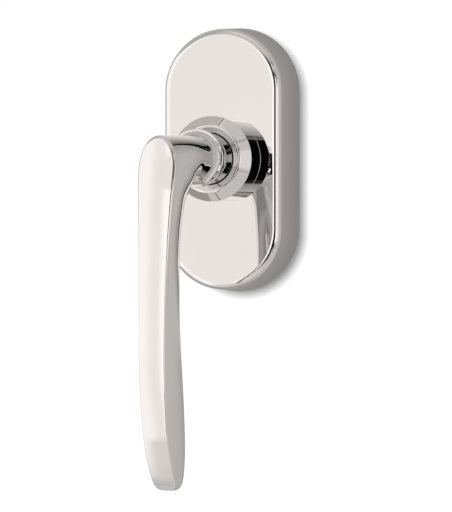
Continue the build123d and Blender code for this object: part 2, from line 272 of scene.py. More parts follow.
def metal(name, colour_a, colour_b, rough_a, rough_b, scale, detail=4.0, bump=0.0, bump_scale=None, stretch=(1, 1, 1), metallic=1.0, coat=0.0):
    m, nt, bsdf, tex = new_material(name)
    mp = nt.nodes.new("ShaderNodeMapping")
    mp.inputs["Scale"].default_value = stretch
    nt.links.new(tex.outputs["Object"], mp.inputs["Vector"])
    big = node(nt, "ShaderNodeTexNoise", Scale=scale, Detail=detail, Roughness=0.6)
    nt.links.new(mp.outputs[0], big.inputs["Vector"])
    mix = nt.nodes.new("ShaderNodeMix")
    mix.data_type = "RGBA"
    mix.inputs[6].default_value = (*colour_a, 1)
    mix.inputs[7].default_value = (*colour_b, 1)
    nt.links.new(ramp(nt, big.outputs["Fac"], 0.35, 0.65, 0, 1), mix.inputs[0])
    nt.links.new(mix.outputs[2], bsdf.inputs["Base Color"])
    fine = node(nt, "ShaderNodeTexNoise", Scale=scale * 6.3, Detail=5.0, Roughness=0.65)
    nt.links.new(mp.outputs[0], fine.inputs["Vector"])
    nt.links.new(ramp(nt, fine.outputs["Fac"], 0.3, 0.7, rough_a, rough_b), bsdf.inputs["Roughness"])
    bsdf.inputs["Metallic"].default_value = metallic
    if coat:
        bsdf.inputs["Coat Weight"].default_value = coat
        bsdf.inputs["Coat Roughness"].default_value = 0.2
    if bump:
        grain = node(nt, "ShaderNodeTexNoise", Scale=bump_scale or scale * 20, Detail=3.0, Roughness=0.6)
        nt.links.new(mp.outputs[0], grain.inputs["Vector"])
        b = node(nt, "ShaderNodeBump", Strength=bump, Distance=0.0001)
        nt.links.new(grain.outputs["Fac"], b.inputs["Height"])
        nt.links.new(b.outputs[0], bsdf.inputs["Normal"])
    return m


def chrome():
    """Bright decorative chrome: warm white reflections, faint polishing haze and hairline scratches."""
    m, nt, bsdf, tex = new_material("polished_chrome")
    bsdf.inputs["Metallic"].default_value = 1.0
    # a breath of tone: plating over buffed zinc isn't one even colour
    tone = node(nt, "ShaderNodeTexNoise", Scale=38.0, Detail=3.0, Roughness=0.5)
    nt.links.new(tex.outputs["Object"], tone.inputs["Vector"])
    mix = nt.nodes.new("ShaderNodeMix")
    mix.data_type = "RGBA"
    mix.inputs[6].default_value = (0.700, 0.697, 0.693, 1)
    mix.inputs[7].default_value = (0.722, 0.719, 0.715, 1)
    nt.links.new(ramp(nt, tone.outputs["Fac"], 0.35, 0.65, 0, 1), mix.inputs[0])
    nt.links.new(mix.outputs[2], bsdf.inputs["Base Color"])
    # haze: wiped areas and finger marks
    haze = node(nt, "ShaderNodeTexNoise", Scale=75.0, Detail=5.0, Roughness=0.62)
    nt.links.new(tex.outputs["Object"], haze.inputs["Vector"])
    smooth = ramp(nt, haze.outputs["Fac"], 0.42, 0.74, 0.010, 0.032)
    # buffing hairlines, much longer across than along
    mp = nt.nodes.new("ShaderNodeMapping")
    mp.inputs["Scale"].default_value = (1.0, 1.0, 16.0)
    mp.inputs["Rotation"].default_value = (0.2, 0.35, 0.1)
    nt.links.new(tex.outputs["Object"], mp.inputs["Vector"])
    hair = node(nt, "ShaderNodeTexNoise", Scale=260.0, Detail=4.0, Roughness=0.7)
    nt.links.new(mp.outputs[0], hair.inputs["Vector"])
    line = ramp(nt, hair.outputs["Fac"], 0.60, 0.74, 0.0, 0.02)
    add = nt.nodes.new("ShaderNodeMath")
    add.operation = "ADD"
    nt.links.new(smooth, add.inputs[0])
    nt.links.new(line, add.inputs[1])
    nt.links.new(add.outputs[0], bsdf.inputs["Roughness"])
    b = node(nt, "ShaderNodeBump", Strength=0.003, Distance=0.00005)
    nt.links.new(hair.outputs["Fac"], b.inputs["Height"])
    nt.links.new(b.outputs[0], bsdf.inputs["Normal"])
    return m


CHROME = chrome()
ZINC = metal("zinc_die_cast", (0.56, 0.57, 0.585), (0.66, 0.665, 0.67), 0.34, 0.52, 60, bump=0.35, bump_scale=900)
SPRING = metal("spring_steel", (0.38, 0.385, 0.40), (0.50, 0.50, 0.51), 0.20, 0.34, 120, bump=0.10, stretch=(1, 1, 4))
PLATED = metal("plated_steel", (0.62, 0.615, 0.585), (0.74, 0.735, 0.70), 0.22, 0.36, 90, bump=0.15)
HARD = metal("hardened_steel", (0.60, 0.60, 0.61), (0.68, 0.68, 0.69), 0.08, 0.16, 150, bump=0.04)
BLACK = metal("black_oxide_steel", (0.035, 0.034, 0.036), (0.07, 0.068, 0.07), 0.30, 0.46, 140, bump=0.12)
NYLON = metal("nylon", (0.70, 0.69, 0.64), (0.76, 0.75, 0.70), 0.38, 0.5, 80, bump=0.2, metallic=0.0, coat=0.05)

SLOT_MATERIAL = {
    "polished_chrome": CHROME,
    "zinc_die_cast": ZINC,
    "spring_steel": SPRING,
    "plated_steel": PLATED,
    "hardened_steel": HARD,
    "black_oxide_steel": BLACK,
    "nylon": NYLON,
}

# ====================================================================================================
# Rosette cover: oval cap drawn in from a wider foot, rounded edge, hollow, round hole for the collar
# ====================================================================================================
OVAL_C = 18.96


def oval_ring(w, d, nr, nd, arc=56, straight=14):
    """One ring of an oval of half-width w at depth d; nr and nd are its outward and d normals."""
    pts, nrm = [], []
    for sign in (1, -1):
        for i in range(arc + 1):
            a = math.pi * i / arc + (0 if sign > 0 else math.pi)
            c, s = math.cos(a), math.sin(a)
            pts.append((w * c, d, sign * OVAL_C + w * s))
            nrm.append((nr * c, nd, nr * s))
        for i in range(1, straight):
            t = i / straight
            pts.append((-sign * w, d, sign * OVAL_C * (1 - 2 * t)))
            nrm.append((-sign * nr, nd, 0))
    return np.array(pts), np.array(nrm)


def round_ring(r, d, nr, nd, like):
    """Circle of radius r whose points keep the polar angles of another ring."""
    a = np.arctan2(like[:, 2], like[:, 0])
    c, s = np.cos(a), np.sin(a)
    return np.stack([r * c, np.full(len(a), d), r * s], 1), np.stack([nr * c, np.full(len(a), nd), nr * s], 1)


def rosette_cover():
    D, WALL, HOLE = 14.45, 1.30, 10.95
    wo, wi = 18.20, 16.90
    top_o, top_i = 17.02, 16.90 - 1.18 * (D - WALL) / D
    # up the outside, in over the face
    outer_p, outer_n = filleted_right([(0.0, wo), (D, top_o), (D, HOLE + 2.0)], [0, 2.90, 0], seg=26)
    rings = []
    like = oval_ring(wo, 0, 1, 0)[0]
    # foot: a small break where the wall meets the base
    foot_p, foot_n = filleted_right([(2.0, wi), (0.0, wi), (0.0, wo), (2.0, wo - 0.163)], [0, 0.15, 0.18, 0], seg=5)
    for (d, w), (nd, nr) in list(zip(foot_p, foot_n))[1:-1]:
        rings.append(oval_ring(w, d, nr, nd))
    for k in (0.25, 0.5, 0.75):
        w = wo + (top_o - wo) * k
        rings.append(oval_ring(w, D * k, outer_n[0][1], outer_n[0][0]))
    for (d, w), (nd, nr) in list(zip(outer_p, outer_n))[1:-1]:
        rings.append(oval_ring(w, d, nr, nd))
    # flat face, from the oval in to the round hole
    edge = rings[-1][0]
    flat = np.tile([0.0, 1.0, 0.0], (len(like), 1))
    hole_p, hole_n = filleted_right([(D, HOLE + 2.0), (D, HOLE), (D - WALL, HOLE), (D - WALL, HOLE + 2.0)], [0, 0.12, 0.12, 0], seg=5)
    circle = round_ring(hole_p[1][1], D, 0, 1, like)[0]
    for k in (0.25, 0.5, 0.75):
        rings.append((edge * (1 - k) + circle * k, flat))
    for (d, r), (nd, nr) in list(zip(hole_p, hole_n))[1:-1]:
        rings.append(round_ring(r, d, nr, nd, like))
    # inside of the cap
    inner_p, inner_n = filleted_right([(D - WALL, HOLE + 2.0), (D - WALL, top_i), (0.0, wi)], [0, 1.5, 0], seg=10)
    inside = list(zip(inner_p, inner_n))[1:-1]
    far = oval_ring(inside[0][0][1], D - WALL, 0, -1)[0]
    near = rings[-1][0]
    for k in (0.33, 0.66):
        rings.append((near * (1 - k) + far * k, -flat))
    for (d, w), (nd, nr) in inside:
        rings.append(oval_ring(w, d, nr, nd))
    return patches_object("rosette_cover_chrome", [rings_patch(rings, True)], CHROME, "cover", ["rosette_cover"])


# ====================================================================================================
# Collar ring and neck sleeve
# ====================================================================================================
def collar_ring():
    pts = [(12.3, 9.9), (12.3, 10.9), (14.45, 10.9), (14.45, 11.67), (21.78, 11.67), (24.68, 9.00), (23.80, 7.2), (21.3, 7.2), (21.3, 9.9)]
    rad = [0.15, 0.25, 0.05, 0.20, 0.26, 0.90, 0.12, 0.12, 0.3]
    prof = filleted(pts[::-1], rad[::-1], seg=9)
    return patches_object("collar_ring_chrome", [lathe(prof, 192)], CHROME, "cover", ["collar_ring"])


def square_ring(half, corner, d, nr, nd, N):
    """Rounded square of half-width half; N points at even polar angles."""
    pts, nrm = [], []
    for j in range(N):
        a = 2 * math.pi * j / N
        c, s = math.cos(a), math.sin(a)
        k = half / max(abs(c), abs(s))
        p = np.array([k * c, k * s])
        n = np.array([math.copysign(1, c), 0]) if abs(c) >= abs(s) else np.array([0, math.copysign(1, s)])
        q = np.abs(p) - (half - corner)
        if q[0] > 0 and q[1] > 0:
            centre = np.array([math.copysign(half - corner, c), math.copysign(half - corner, s)])
            e = np.array([c, s])
            bq = centre @ e
            k = bq + math.sqrt(max(bq * bq - centre @ centre + corner * corner, 0))
            p = k * e
            n = (p - centre) / np.linalg.norm(p - centre)
        pts.append((p[0], d, p[1]))
        nrm.append((nr * n[0], nd, nr * n[1]))
    return np.array(pts), np.array(nrm)


def neck_sleeve():
    N = 160
    out = [(5.05, 7.0), (6.18, 7.0), (6.18, 6.70), (7.26, 6.70), (7.26, 7.0), (32.40, 7.0), (32.40, 7.90), (33.80, 7.90), (33.80, 4.0), (44.0, 4.0)]
    prof = filleted_right(out, [0, 0.08, 0.1, 0.1, 0.08, 0.12, 0.32, 0.32, 0.1, 0], seg=9)
    a = np.arange(N) * 2 * math.pi / N
    c, s = np.cos(a), np.sin(a)
    rings = [square_ring(3.53, 0.3, 30.8, -1, 0, N), square_ring(3.53, 0.3, 2.35, -1, 0, N), square_ring(3.68, 0.3, 2.2, -0.7, -0.7, N), square_ring(4.85, 0.5, 2.2, 0.05, -1, N), square_ring(5.0, 0.5, 2.35, 1, -0.1, N), square_ring(5.0, 0.5, 5.0, 1, 0, N)]
    rings.append((np.stack([6.9 * c, np.full(N, 5.05), 6.9 * s], 1), np.tile([0.0, -1.0, 0.0], (N, 1))))
    for (d, r), (nd, nr) in zip(prof[0], prof[1]):
        rings.append((np.stack([r * c, np.full(N, d), r * s], 1), np.stack([nr * c, np.full(N, nd), nr * s], 1)))
    p, n, f = rings_patch(rings, False)
    ends = []
    for ring, d, nd in ((rings[0][0], 30.8, -1.0), (rings[-1][0], 44.0, 1.0)):
        q = np.vstack([ring, [[0, d, 0]]])
        ends.append((q, np.tile([0.0, nd, 0.0], (N + 1, 1)), [[j, (j + 1) % N, N] for j in range(N)]))
    return patches_object("neck_sleeve_chrome", [(p, n, f)] + ends, CHROME, "lever", ["neck_sleeve"])


# ====================================================================================================
# Lever: the surface where a field is zero, cut off by the crowned front face with a rolled edge
# ====================================================================================================
FRONT_Z = [-88.0, -86.7, -85.9, -83.6, -82.0, -80.0, -78.0, -75.0, -72.0, -68.0, -64.0, -60.0, -55.0, -50.0, -45.0, -40.0, -35.0, -30.0, -25.0, -20.0, -16.0, -12.0, -9.0, -6.0, -2.0, 2.0, 6.0, 12.0]
FRONT_D = [53.05, 54.55, 55.43, 57.35, 58.30, 59.387, 60.360, 61.554, 62.419, 63.244, 63.956, 64.493, 64.822, 64.939, 64.934, 64.822, 64.615, 64.313, 63.933, 63.535, 63.230, 62.889, 62.544, 62.064, 61.300, 60.722, 60.246, 59.56]
OUT_Z = [-86.8, -84.0, -80.0, -75.0, -70.0, -65.0, -60.0, -55.0, -50.0, -45.0, -40.0, -35.0, -30.0, -26.0, -22.0, -18.0, -14.0, -10.0, -7.0, -5.0, -3.0, 8.0]
OUT_W = [2.95, 3.085, 3.235, 3.325, 3.402, 3.475, 3.510, 3.523, 3.540, 3.588, 3.657, 3.759, 3.919, 4.073, 4.249, 4.470, 4.711, 4.947, 5.139, 5.215, 5.224, 5.224]
REAR_CURVE = [
    (64.0, -84.9), (60.0, -85.8), (56.5, -86.42), (54.2, -86.72), (52.0, -86.75), (50.55, -86.2), (49.62, -85.2), (49.05, -84.0), (48.62, -82.4),
    (48.10, -79.0), (47.98, -75.3), (48.25, -70.0), (48.87, -64.8), (49.54, -59.6), (50.16, -54.5), (50.74, -49.4), (51.25, -44.3),
    (51.57, -39.2), (51.65, -34.0), (51.52, -29.0), (51.20, -24.0), (50.62, -19.5), (49.60, -15.5), (47.95, -11.6), (45.90, -8.7),
    (44.10, -6.65), (42.3, -5.88), (40.5, -5.84), (38.5, -5.96), (37.0, -6.11), (36.0, -6.22), (35.2, -6.45), (34.7, -6.75), (34.2, -7.10), (33.82, -7.22), (33.0, -7.35),
]
CROWN, CUT_D, BORE_R, BORE_D = 0.010, 33.82, 4.03, 44.3
GRUB_D, GRUB_R = 39.6, 2.02

outline = cubic(OUT_Z, OUT_W)


def edge_r(z):
    """Radius of the rolled edge around the front face: full at the head, crisp from mid-length down."""
    return np.interp(z, [-60, -42, -31, -25, -20, -14, -8, 8], [0.28, 0.28, 0.42, 0.58, 0.74, 0.90, 1.0, 1.05])


front_of = cubic(FRONT_Z, FRONT_D)
flare = cubic([33.0, 33.82, 34.2, 34.7, 35.2, 36.0, 37.0, 38.0, 39.5], [7.35, 7.22, 7.10, 6.75, 6.45, 6.22, 6.11, 6.05, 6.0])


def neck_r(d):
    return np.where(d < 38.5, flare(np.minimum(d, 38.5)), flare(38.5) - 0.036 * (d - 38.5))


def neck_top(d):
    return np.where(d < 38.5, flare(np.minimum(d, 38.5)) - 0.10 * smoothstep(d, 34, 38.5), flare(38.5) - 0.10 - 0.0266 * (d - 38.5))


def rear_curve(n=900):
    P = np.array(REAR_CURVE)
    s = np.r_[0, np.cumsum(np.hypot(*np.diff(P, axis=0).T))]
    t = np.linspace(0, s[-1], n)
    return np.stack([cubic(s, P[:, 0])(t), cubic(s, P[:, 1])(t)], 1)


class Grid2:
    """Distance to the rear curve on a (d, z) grid, read back with a bicubic filter."""

    def __init__(self, h=0.25):
        self.h, self.d0, self.z0 = h, 32.0, -89.0
        self.nd, self.nz = int(35 / h) + 1, int(99 / h) + 1
        d = self.d0 + np.arange(self.nd) * h
        z = self.z0 + np.arange(self.nz) * h
        D, Z = np.meshgrid(d, z, indexing="ij")
        c = rear_curve()
        a, e = c[:-1], np.diff(c, axis=0)
        L2 = (e**2).sum(1)
        q = np.stack([D, Z], -1).reshape(-1, 2)
        out = np.empty(len(q))
        for i in range(0, len(q), 3000):
            w = q[i : i + 3000, None, :] - a[None]
            t = np.clip((w * e).sum(-1) / L2, 0, 1)
            r2 = ((w - t[..., None] * e) ** 2).sum(-1)
            j = r2.argmin(1)
            k = np.arange(len(j))
            cr = e[j, 0] * w[k, j, 1] - e[j, 1] * w[k, j, 0]
            out[i : i + 3000] = np.where(cr > 0, 1, -1) * np.sqrt(r2[k, j])
        self.v = out.reshape(D.shape)

    def __call__(self, d, z):
        shape = np.broadcast(d, z).shape
        d, z = np.broadcast_to(d, shape), np.broadcast_to(z, shape)
        u = np.clip((d - self.d0) / self.h, 1, self.nd - 2.001)
        w = np.clip((z - self.z0) / self.h, 1, self.nz - 2.001)
        i, j = np.floor(u).astype(int), np.floor(w).astype(int)
        u, w = u - i, w - j

        def weights(t):
            # B-spline weights: smooth to the second derivative
            return [(1 - t) ** 3 / 6, (3 * t**3 - 6 * t**2 + 4) / 6, (-3 * t**3 + 3 * t**2 + 3 * t + 1) / 6, t**3 / 6]

        wu, ww = weights(u), weights(w)
        out = 0
        for a in range(4):
            for b in range(4):
                out = out + wu[a] * ww[b] * self.v[np.clip(i + a - 1, 0, self.nd - 1), np.clip(j + b - 1, 0, self.nz - 1)]
        return out


REAR = Grid2()


def lever_field(x, d, z):
    """Side, rear and top of the lever: negative inside, about a distance near the surface."""
    p = REAR(d, z)
    k = smoothstep((d - 44) + np.maximum(0, -6 - z), 0, 15)
    top = neck_top(d)
    b = (1 - k) * np.minimum(top - 0.1, 8) + k * np.interp(z, [-86.8, -80, -70, -50, -25, -16, -8], [3.0, 6.5, 10.0, 12.0, 11.0, 11.0, 10.0])
    n = np.interp(z, [-60, -50, -35, -25, -16, -8, -4], [4.2, 4.0, 3.4, 2.8, 2.5, 2.1, 2.0])
    z0 = -3 * smoothstep(d, 42, 60)
    Q = np.maximum(1 + p / b, 0)
    T = np.maximum((z - z0) / (top - z0), 0)
    W = outline(np.minimum(z, -3.0)) * neck_r(d) / neck_r(front_of(z))
    X = np.abs(x) / W
    return W * ((X**n + Q**n + T**n + 1e-12) ** (1 / n) - 1)


def front_field(x, d, z):
    """Depth below the crowned front face."""
    slope = (front_of(z + 0.01) - front_of(z - 0.01)) / 0.02
    return (front_of(z) - d - CROWN * x * x) / np.sqrt(1 + slope * slope)


def gradient(f, P, h=0.02):
    g = np.empty_like(P)
    for a in range(3):
        e = np.zeros(3)
        e[a] = h
        q, r = P + e, P - e
        g[:, a] = (f(q[:, 0], q[:, 1], q[:, 2]) - f(r[:, 0], r[:, 1], r[:, 2])) / (2 * h)
    return g


def onto(f, P, rounds=4):
    P = P.copy()
    for _ in range(rounds):
        v = f(P[:, 0], P[:, 1], P[:, 2])
        g = gradient(f, P)
        P -= (v / np.maximum((g * g).sum(1), 1e-6))[:, None] * g
    return P


def unit(v):
    return v / np.maximum(np.linalg.norm(v, axis=-1, keepdims=True), 1e-12)


def surface_net(f, xs, ds, zs):
    V = f(xs[:, None, None], ds[None, :, None], zs[None, None, :]).astype(np.float32)
    ins = V < 0
    shape = tuple(s - 1 for s in V.shape)
    tot, cnt = np.zeros(shape + (3,), np.float32), np.zeros(shape, np.float32)
    axes = (xs, ds, zs)
    crossings = []
    for a in range(3):
        lo = [slice(None)] * 3
        hi = [slice(None)] * 3
        lo[a], hi[a] = slice(0, -1), slice(1, None)
        v0, v1 = V[tuple(lo)], V[tuple(hi)]
        idx = np.argwhere(ins[tuple(lo)] != ins[tuple(hi)])
        t = v0[tuple(idx.T)] / (v0[tuple(idx.T)] - v1[tuple(idx.T)])
        pos = np.stack([axes[b][idx[:, b]] for b in range(3)], 1)
        pos[:, a] += t * (axes[a][1] - axes[a][0])
        crossings.append((idx, ins[tuple(lo)][tuple(idx.T)]))
        others = [b for b in range(3) if b != a]
        for i in (0, 1):
            for j in (0, 1):
                c = idx.copy()
                c[:, others[0]] -= i
                c[:, others[1]] -= j
                ok = np.all((c >= 0) & (c < np.array(shape)), axis=1)
                np.add.at(tot, tuple(c[ok].T), pos[ok])
                np.add.at(cnt, tuple(c[ok].T), 1)
    cells = np.argwhere(cnt > 0)
    ids = -np.ones(shape, int)
    ids[tuple(cells.T)] = np.arange(len(cells))
    P = tot[tuple(cells.T)] / cnt[tuple(cells.T)][:, None]
    tris = []
    for a in range(3):
        idx, first_in = crossings[a]
        b, c = (a + 1) % 3, (a + 2) % 3
        quad = []
        for i, j in ((0, 0), (1, 0), (1, 1), (0, 1)):
            q = idx.copy()
            q[:, b] -= i
            q[:, c] -= j
            ok = np.all((q >= 0) & (q < np.array(shape)), axis=1)
            quad.append(np.where(ok, ids[tuple(np.clip(q, 0, np.array(shape) - 1).T)], -1))
        quad = np.stack(quad, 1)
        ok = (quad >= 0).all(1)
        quad, first_in = quad[ok], first_in[ok]
        quad[~first_in] = quad[~first_in][:, ::-1]
        tris += [quad[:, [0, 1, 2]], quad[:, [0, 2, 3]]]
    return P.astype(float), np.concatenate(tris)


def clip(P, tris, flags, s, push, flag, near):
    """Keep the part where s >= 0. Points nearly on the line are first moved onto it by push."""
    v = s(P)
    close = np.abs(v) < near
    if close.any():
        P = P.copy()
        P[close] = push(P[close])
        v = s(P)
        v[close] = 0.0
        flags = flags.copy()
        flags[close] |= flag
    side = np.sign(v).astype(int)
    T = side[tris]
    keep = (T >= 0).all(1) & (T > 0).any(1)
    cut = (T > 0).any(1) & (T < 0).any(1)
    new_tris, new_points, new_flags, made = [], [], [], {}
    base = len(P)

    def between(i, j):
        k = (min(i, j), max(i, j))
        if k not in made:
            t = v[i] / (v[i] - v[j])
            made[k] = base + len(new_points)
            new_points.append(P[i] + (P[j] - P[i]) * t)
            new_flags.append((flags[i] & flags[j]) | flag)
        return made[k]

    for tri in tris[cut]:
        poly = []
        for n in range(3):
            i, j = int(tri[n]), int(tri[(n + 1) % 3])
            if side[i] >= 0:
                poly.append(i)
            if side[i] * side[j] < 0:
                poly.append(between(i, j))
        for n in range(1, len(poly) - 1):
            new_tris.append([poly[0], poly[n], poly[n + 1]])
    if new_points:
        Q = push(np.array(new_points))
        P = np.vstack([P, Q])
        flags = np.r_[flags, np.array(new_flags, int)]
    tris = np.vstack([tris[keep], np.array(new_tris, int).reshape(-1, 3)])
    used = np.zeros(len(P), bool)
    used[tris] = True
    remap = np.cumsum(used) - 1
    return P[used], remap[tris], flags[used]


def chain(tris, flags, flag, P, start_key):
    """The boundary edges whose ends both carry flag, walked in order from the end that start_key likes."""
    e = np.vstack([tris[:, [0, 1]], tris[:, [1, 2]], tris[:, [2, 0]]])
    k = np.sort(e, axis=1)
    u, inv, count = np.unique(k, axis=0, return_inverse=True, return_counts=True)
    b = u[count == 1]
    b = b[(flags[b[:, 0]] & flag > 0) & (flags[b[:, 1]] & flag > 0)]
    nxt = {}
    for i, j in b.tolist():
        nxt.setdefault(i, []).append(j)
        nxt.setdefault(j, []).append(i)
    ends = [i for i, q in nxt.items() if len(q) == 1]
    i = min(ends, key=lambda q: start_key(P[q]))
    out, last = [i], None
    while True:
        step = [j for j in nxt[out[-1]] if j != last]
        if not step or step[0] == out[0]:
            break
        last = out[-1]
        out.append(step[0])
    return out


def mirror_patch(patch):
    p, n, f = patch
    return p * [-1, 1, 1], n * [-1, 1, 1], f


def lever():
    h = 0.25
    xs = np.arange(-0.7, 8.4, h)
    ds = np.arange(32.9, 66.2, h)
    zs = np.arange(-87.6, 8.4, h)
    P, tris = surface_net(lever_field, xs, ds, zs)
    P = onto(lever_field, P)
    flags = np.zeros(len(P), int)

    def slide(s_grad):
        """Move points along the surface until a second field is zero too."""

        def push(Q):
            Q = Q.copy()
            for _ in range(6):
                v, g = s_grad(Q)
                n = unit(gradient(lever_field, Q))
                t = g - (g * n).sum(1, keepdims=True) * n
                Q -= (v / np.maximum((t * t).sum(1), 1e-3))[:, None] * t
                w = lever_field(Q[:, 0], Q[:, 1], Q[:, 2])
                gg = gradient(lever_field, Q)
                Q -= (w / np.maximum((gg * gg).sum(1), 1e-6))[:, None] * gg
            return Q

        return push

    # half of it, x >= 0
    def push_x(Q):
        Q = Q.copy()
        Q[:, 0] = 0
        for _ in range(5):
            v = lever_field(Q[:, 0], Q[:, 1], Q[:, 2])
            g = gradient(lever_field, Q)
            g[:, 0] = 0
            Q -= (v / np.maximum((g * g).sum(1), 1e-6))[:, None] * g
        return Q

    P, tris, flags = clip(P, tris, flags, lambda Q: Q[:, 0], push_x, 1, 0.3 * h)

    # the end against the sleeve's flange
    def push_d(Q):
        Q = Q.copy()
        Q[:, 1] = CUT_D
        for _ in range(5):
            v = lever_field(Q[:, 0], Q[:, 1], Q[:, 2])
            g = gradient(lever_field, Q)
            g[:, 1] = 0
            g[Q[:, 0] == 0, 0] = 0
            Q -= (v / np.maximum((g * g).sum(1), 1e-6))[:, None] * g
        return Q

    P, tris, flags = clip(P, tris, flags, lambda Q: Q[:, 1] - CUT_D, push_d, 2, 0.3 * h)

    # the front edge, where a ball of the edge's radius leaves the side
    def edge_value(Q):
        n = unit(gradient(lever_field, Q))
        r = edge_r(Q[:, 2])
        c = Q - r[:, None] * n
        return front_field(c[:, 0], c[:, 1], c[:, 2]) - r

    push_f = slide(lambda Q: (edge_value(Q), gradient(front_field, Q)))
    P, tris, flags = clip(P, tris, flags, edge_value, push_f, 4, 0.3 * h)

    # the hole for the grub screw, underneath
    def grub(Q):
        return np.where(Q[:, 2] < -2, np.hypot(Q[:, 0], Q[:, 1] - GRUB_D) - GRUB_R, 5.0)

    def grub_grad(Q):
        r = np.hypot(Q[:, 0], Q[:, 1] - GRUB_D)
        g = np.stack([Q[:, 0] / r, (Q[:, 1] - GRUB_D) / r, 0 * r], 1)
        return r - GRUB_R, g

    P, tris, flags = clip(P, tris, flags, grub, slide(grub_grad), 8, 0.3 * h)
    P[flags & 1 > 0, 0] = 0.0
    N = unit(gradient(lever_field, P))
    N[flags & 1 > 0, 0] = 0.0
    patches = [(P, N, tris.tolist())]

    # rolled front edge and crowned face
    loop = chain(tris, flags, 4, P, lambda q: -q[2])
    S, SN = P[loop], unit(N[loop])
    R = edge_r(S[:, 2])[:, None]
    C = S - R * SN
    FN = -unit(gradient(front_field, C))
    K = 7
    ang = np.arccos(np.clip((SN * FN).sum(1), -1, 1))
    strip_p, strip_n = [], []
    for k in range(K + 1):
        t = k / K
        m = unit((np.sin((1 - t) * ang) / np.sin(ang))[:, None] * SN + (np.sin(t * ang) / np.sin(ang))[:, None] * FN)
        strip_n.append(m)
        strip_p.append(C + R * m)
    strip_p[0] = S.copy()
    for q in (strip_p, strip_n):
        for a in q:
            a[0, 0] = a[-1, 0] = 0
    M = len(loop)
    faces = []
    for k in range(K):
        for i in range(M - 1):
            a, b = k * M + i, (k + 1) * M + i
            faces.append([a, a + 1, b + 1, b])
    patches.append((np.vstack(strip_p), np.vstack(strip_n), faces))
    edge = strip_p[-1]
    COLS = 6
    cap_p, cap_n = [], []
    for k in range(COLS + 1):
        t = 1 - k / COLS
        q = edge.copy()
        q[:, 0] = edge[:, 0] * t
        if k:
            base_d = front_of(q[:, 2]) - CROWN * q[:, 0] ** 2
            edge_d = front_of(edge[:, 2]) - CROWN * edge[:, 0] ** 2
            q[:, 1] = base_d + (edge[:, 1] - edge_d) * t
        cap_p.append(q)
        m = -unit(gradient(front_field, q))
        m[q[:, 0] == 0, 0] = 0
        cap_n.append(m if k else strip_n[-1])
    faces = []
    for k in range(COLS):
        for i in range(M - 1):
            a, b = k * M + i, (k + 1) * M + i
            faces.append([a, a + 1, b + 1, b])
    patches.append((np.vstack(cap_p), np.vstack(cap_n), faces))

    # end face and bore
    loop = chain(tris, flags, 2, P, lambda q: -q[2])
    ring = P[loop]
    a = np.arctan2(ring[:, 2], ring[:, 0])
    a[ring[:, 0] == 0] = np.sign(ring[ring[:, 0] == 0, 2]) * math.pi / 2
    c, s = np.cos(a), np.sin(a)
    c[ring[:, 0] == 0] = 0
    M = len(ring)
    inner = np.stack([BORE_R * c, np.full(M, CUT_D), BORE_R * s], 1)
    deep = np.stack([BORE_R * c, np.full(M, BORE_D), BORE_R * s], 1)
    mid = np.stack([0 * c, np.full(M, BORE_D), 0 * s], 1)
    strip = lambda p, q, n0, n1: (np.vstack([p, q]), np.vstack([n0, n1]), [[i, i + 1, M + i + 1, M + i] for i in range(M - 1)])
    back = np.tile([0.0, -1.0, 0.0], (M, 1))
    wall = np.stack([-c, 0 * c, -s], 1)
    patches.append(strip(ring, inner, back, back))
    patches.append(strip(inner, deep, wall, wall))
    patches.append(strip(deep, mid, back, back))

    # grub screw hole up into the bore
    loop = chain(tris, flags, 8, P, lambda q: q[1])
    ring = P[loop]
    M = len(ring)
    r = np.stack([ring[:, 0], ring[:, 1] - GRUB_D], 1)
    up = ring.copy()
    up[:, 2] = -np.sqrt(np.maximum(BORE_R**2 - ring[:, 0] ** 2, 0)) + 0.02
    n = unit(np.stack([-r[:, 0], -r[:, 1], 0 * r[:, 0]], 1))
    patches.append((np.vstack([ring, up]), np.vstack([n, n]), [[i, i + 1, M + i + 1, M + i] for i in range(M - 1)]))

    patches += [mirror_patch(q) for q in patches]
    obj = patches_object("lever_chrome", patches, CHROME, "lever", ["lever"])
    return obj


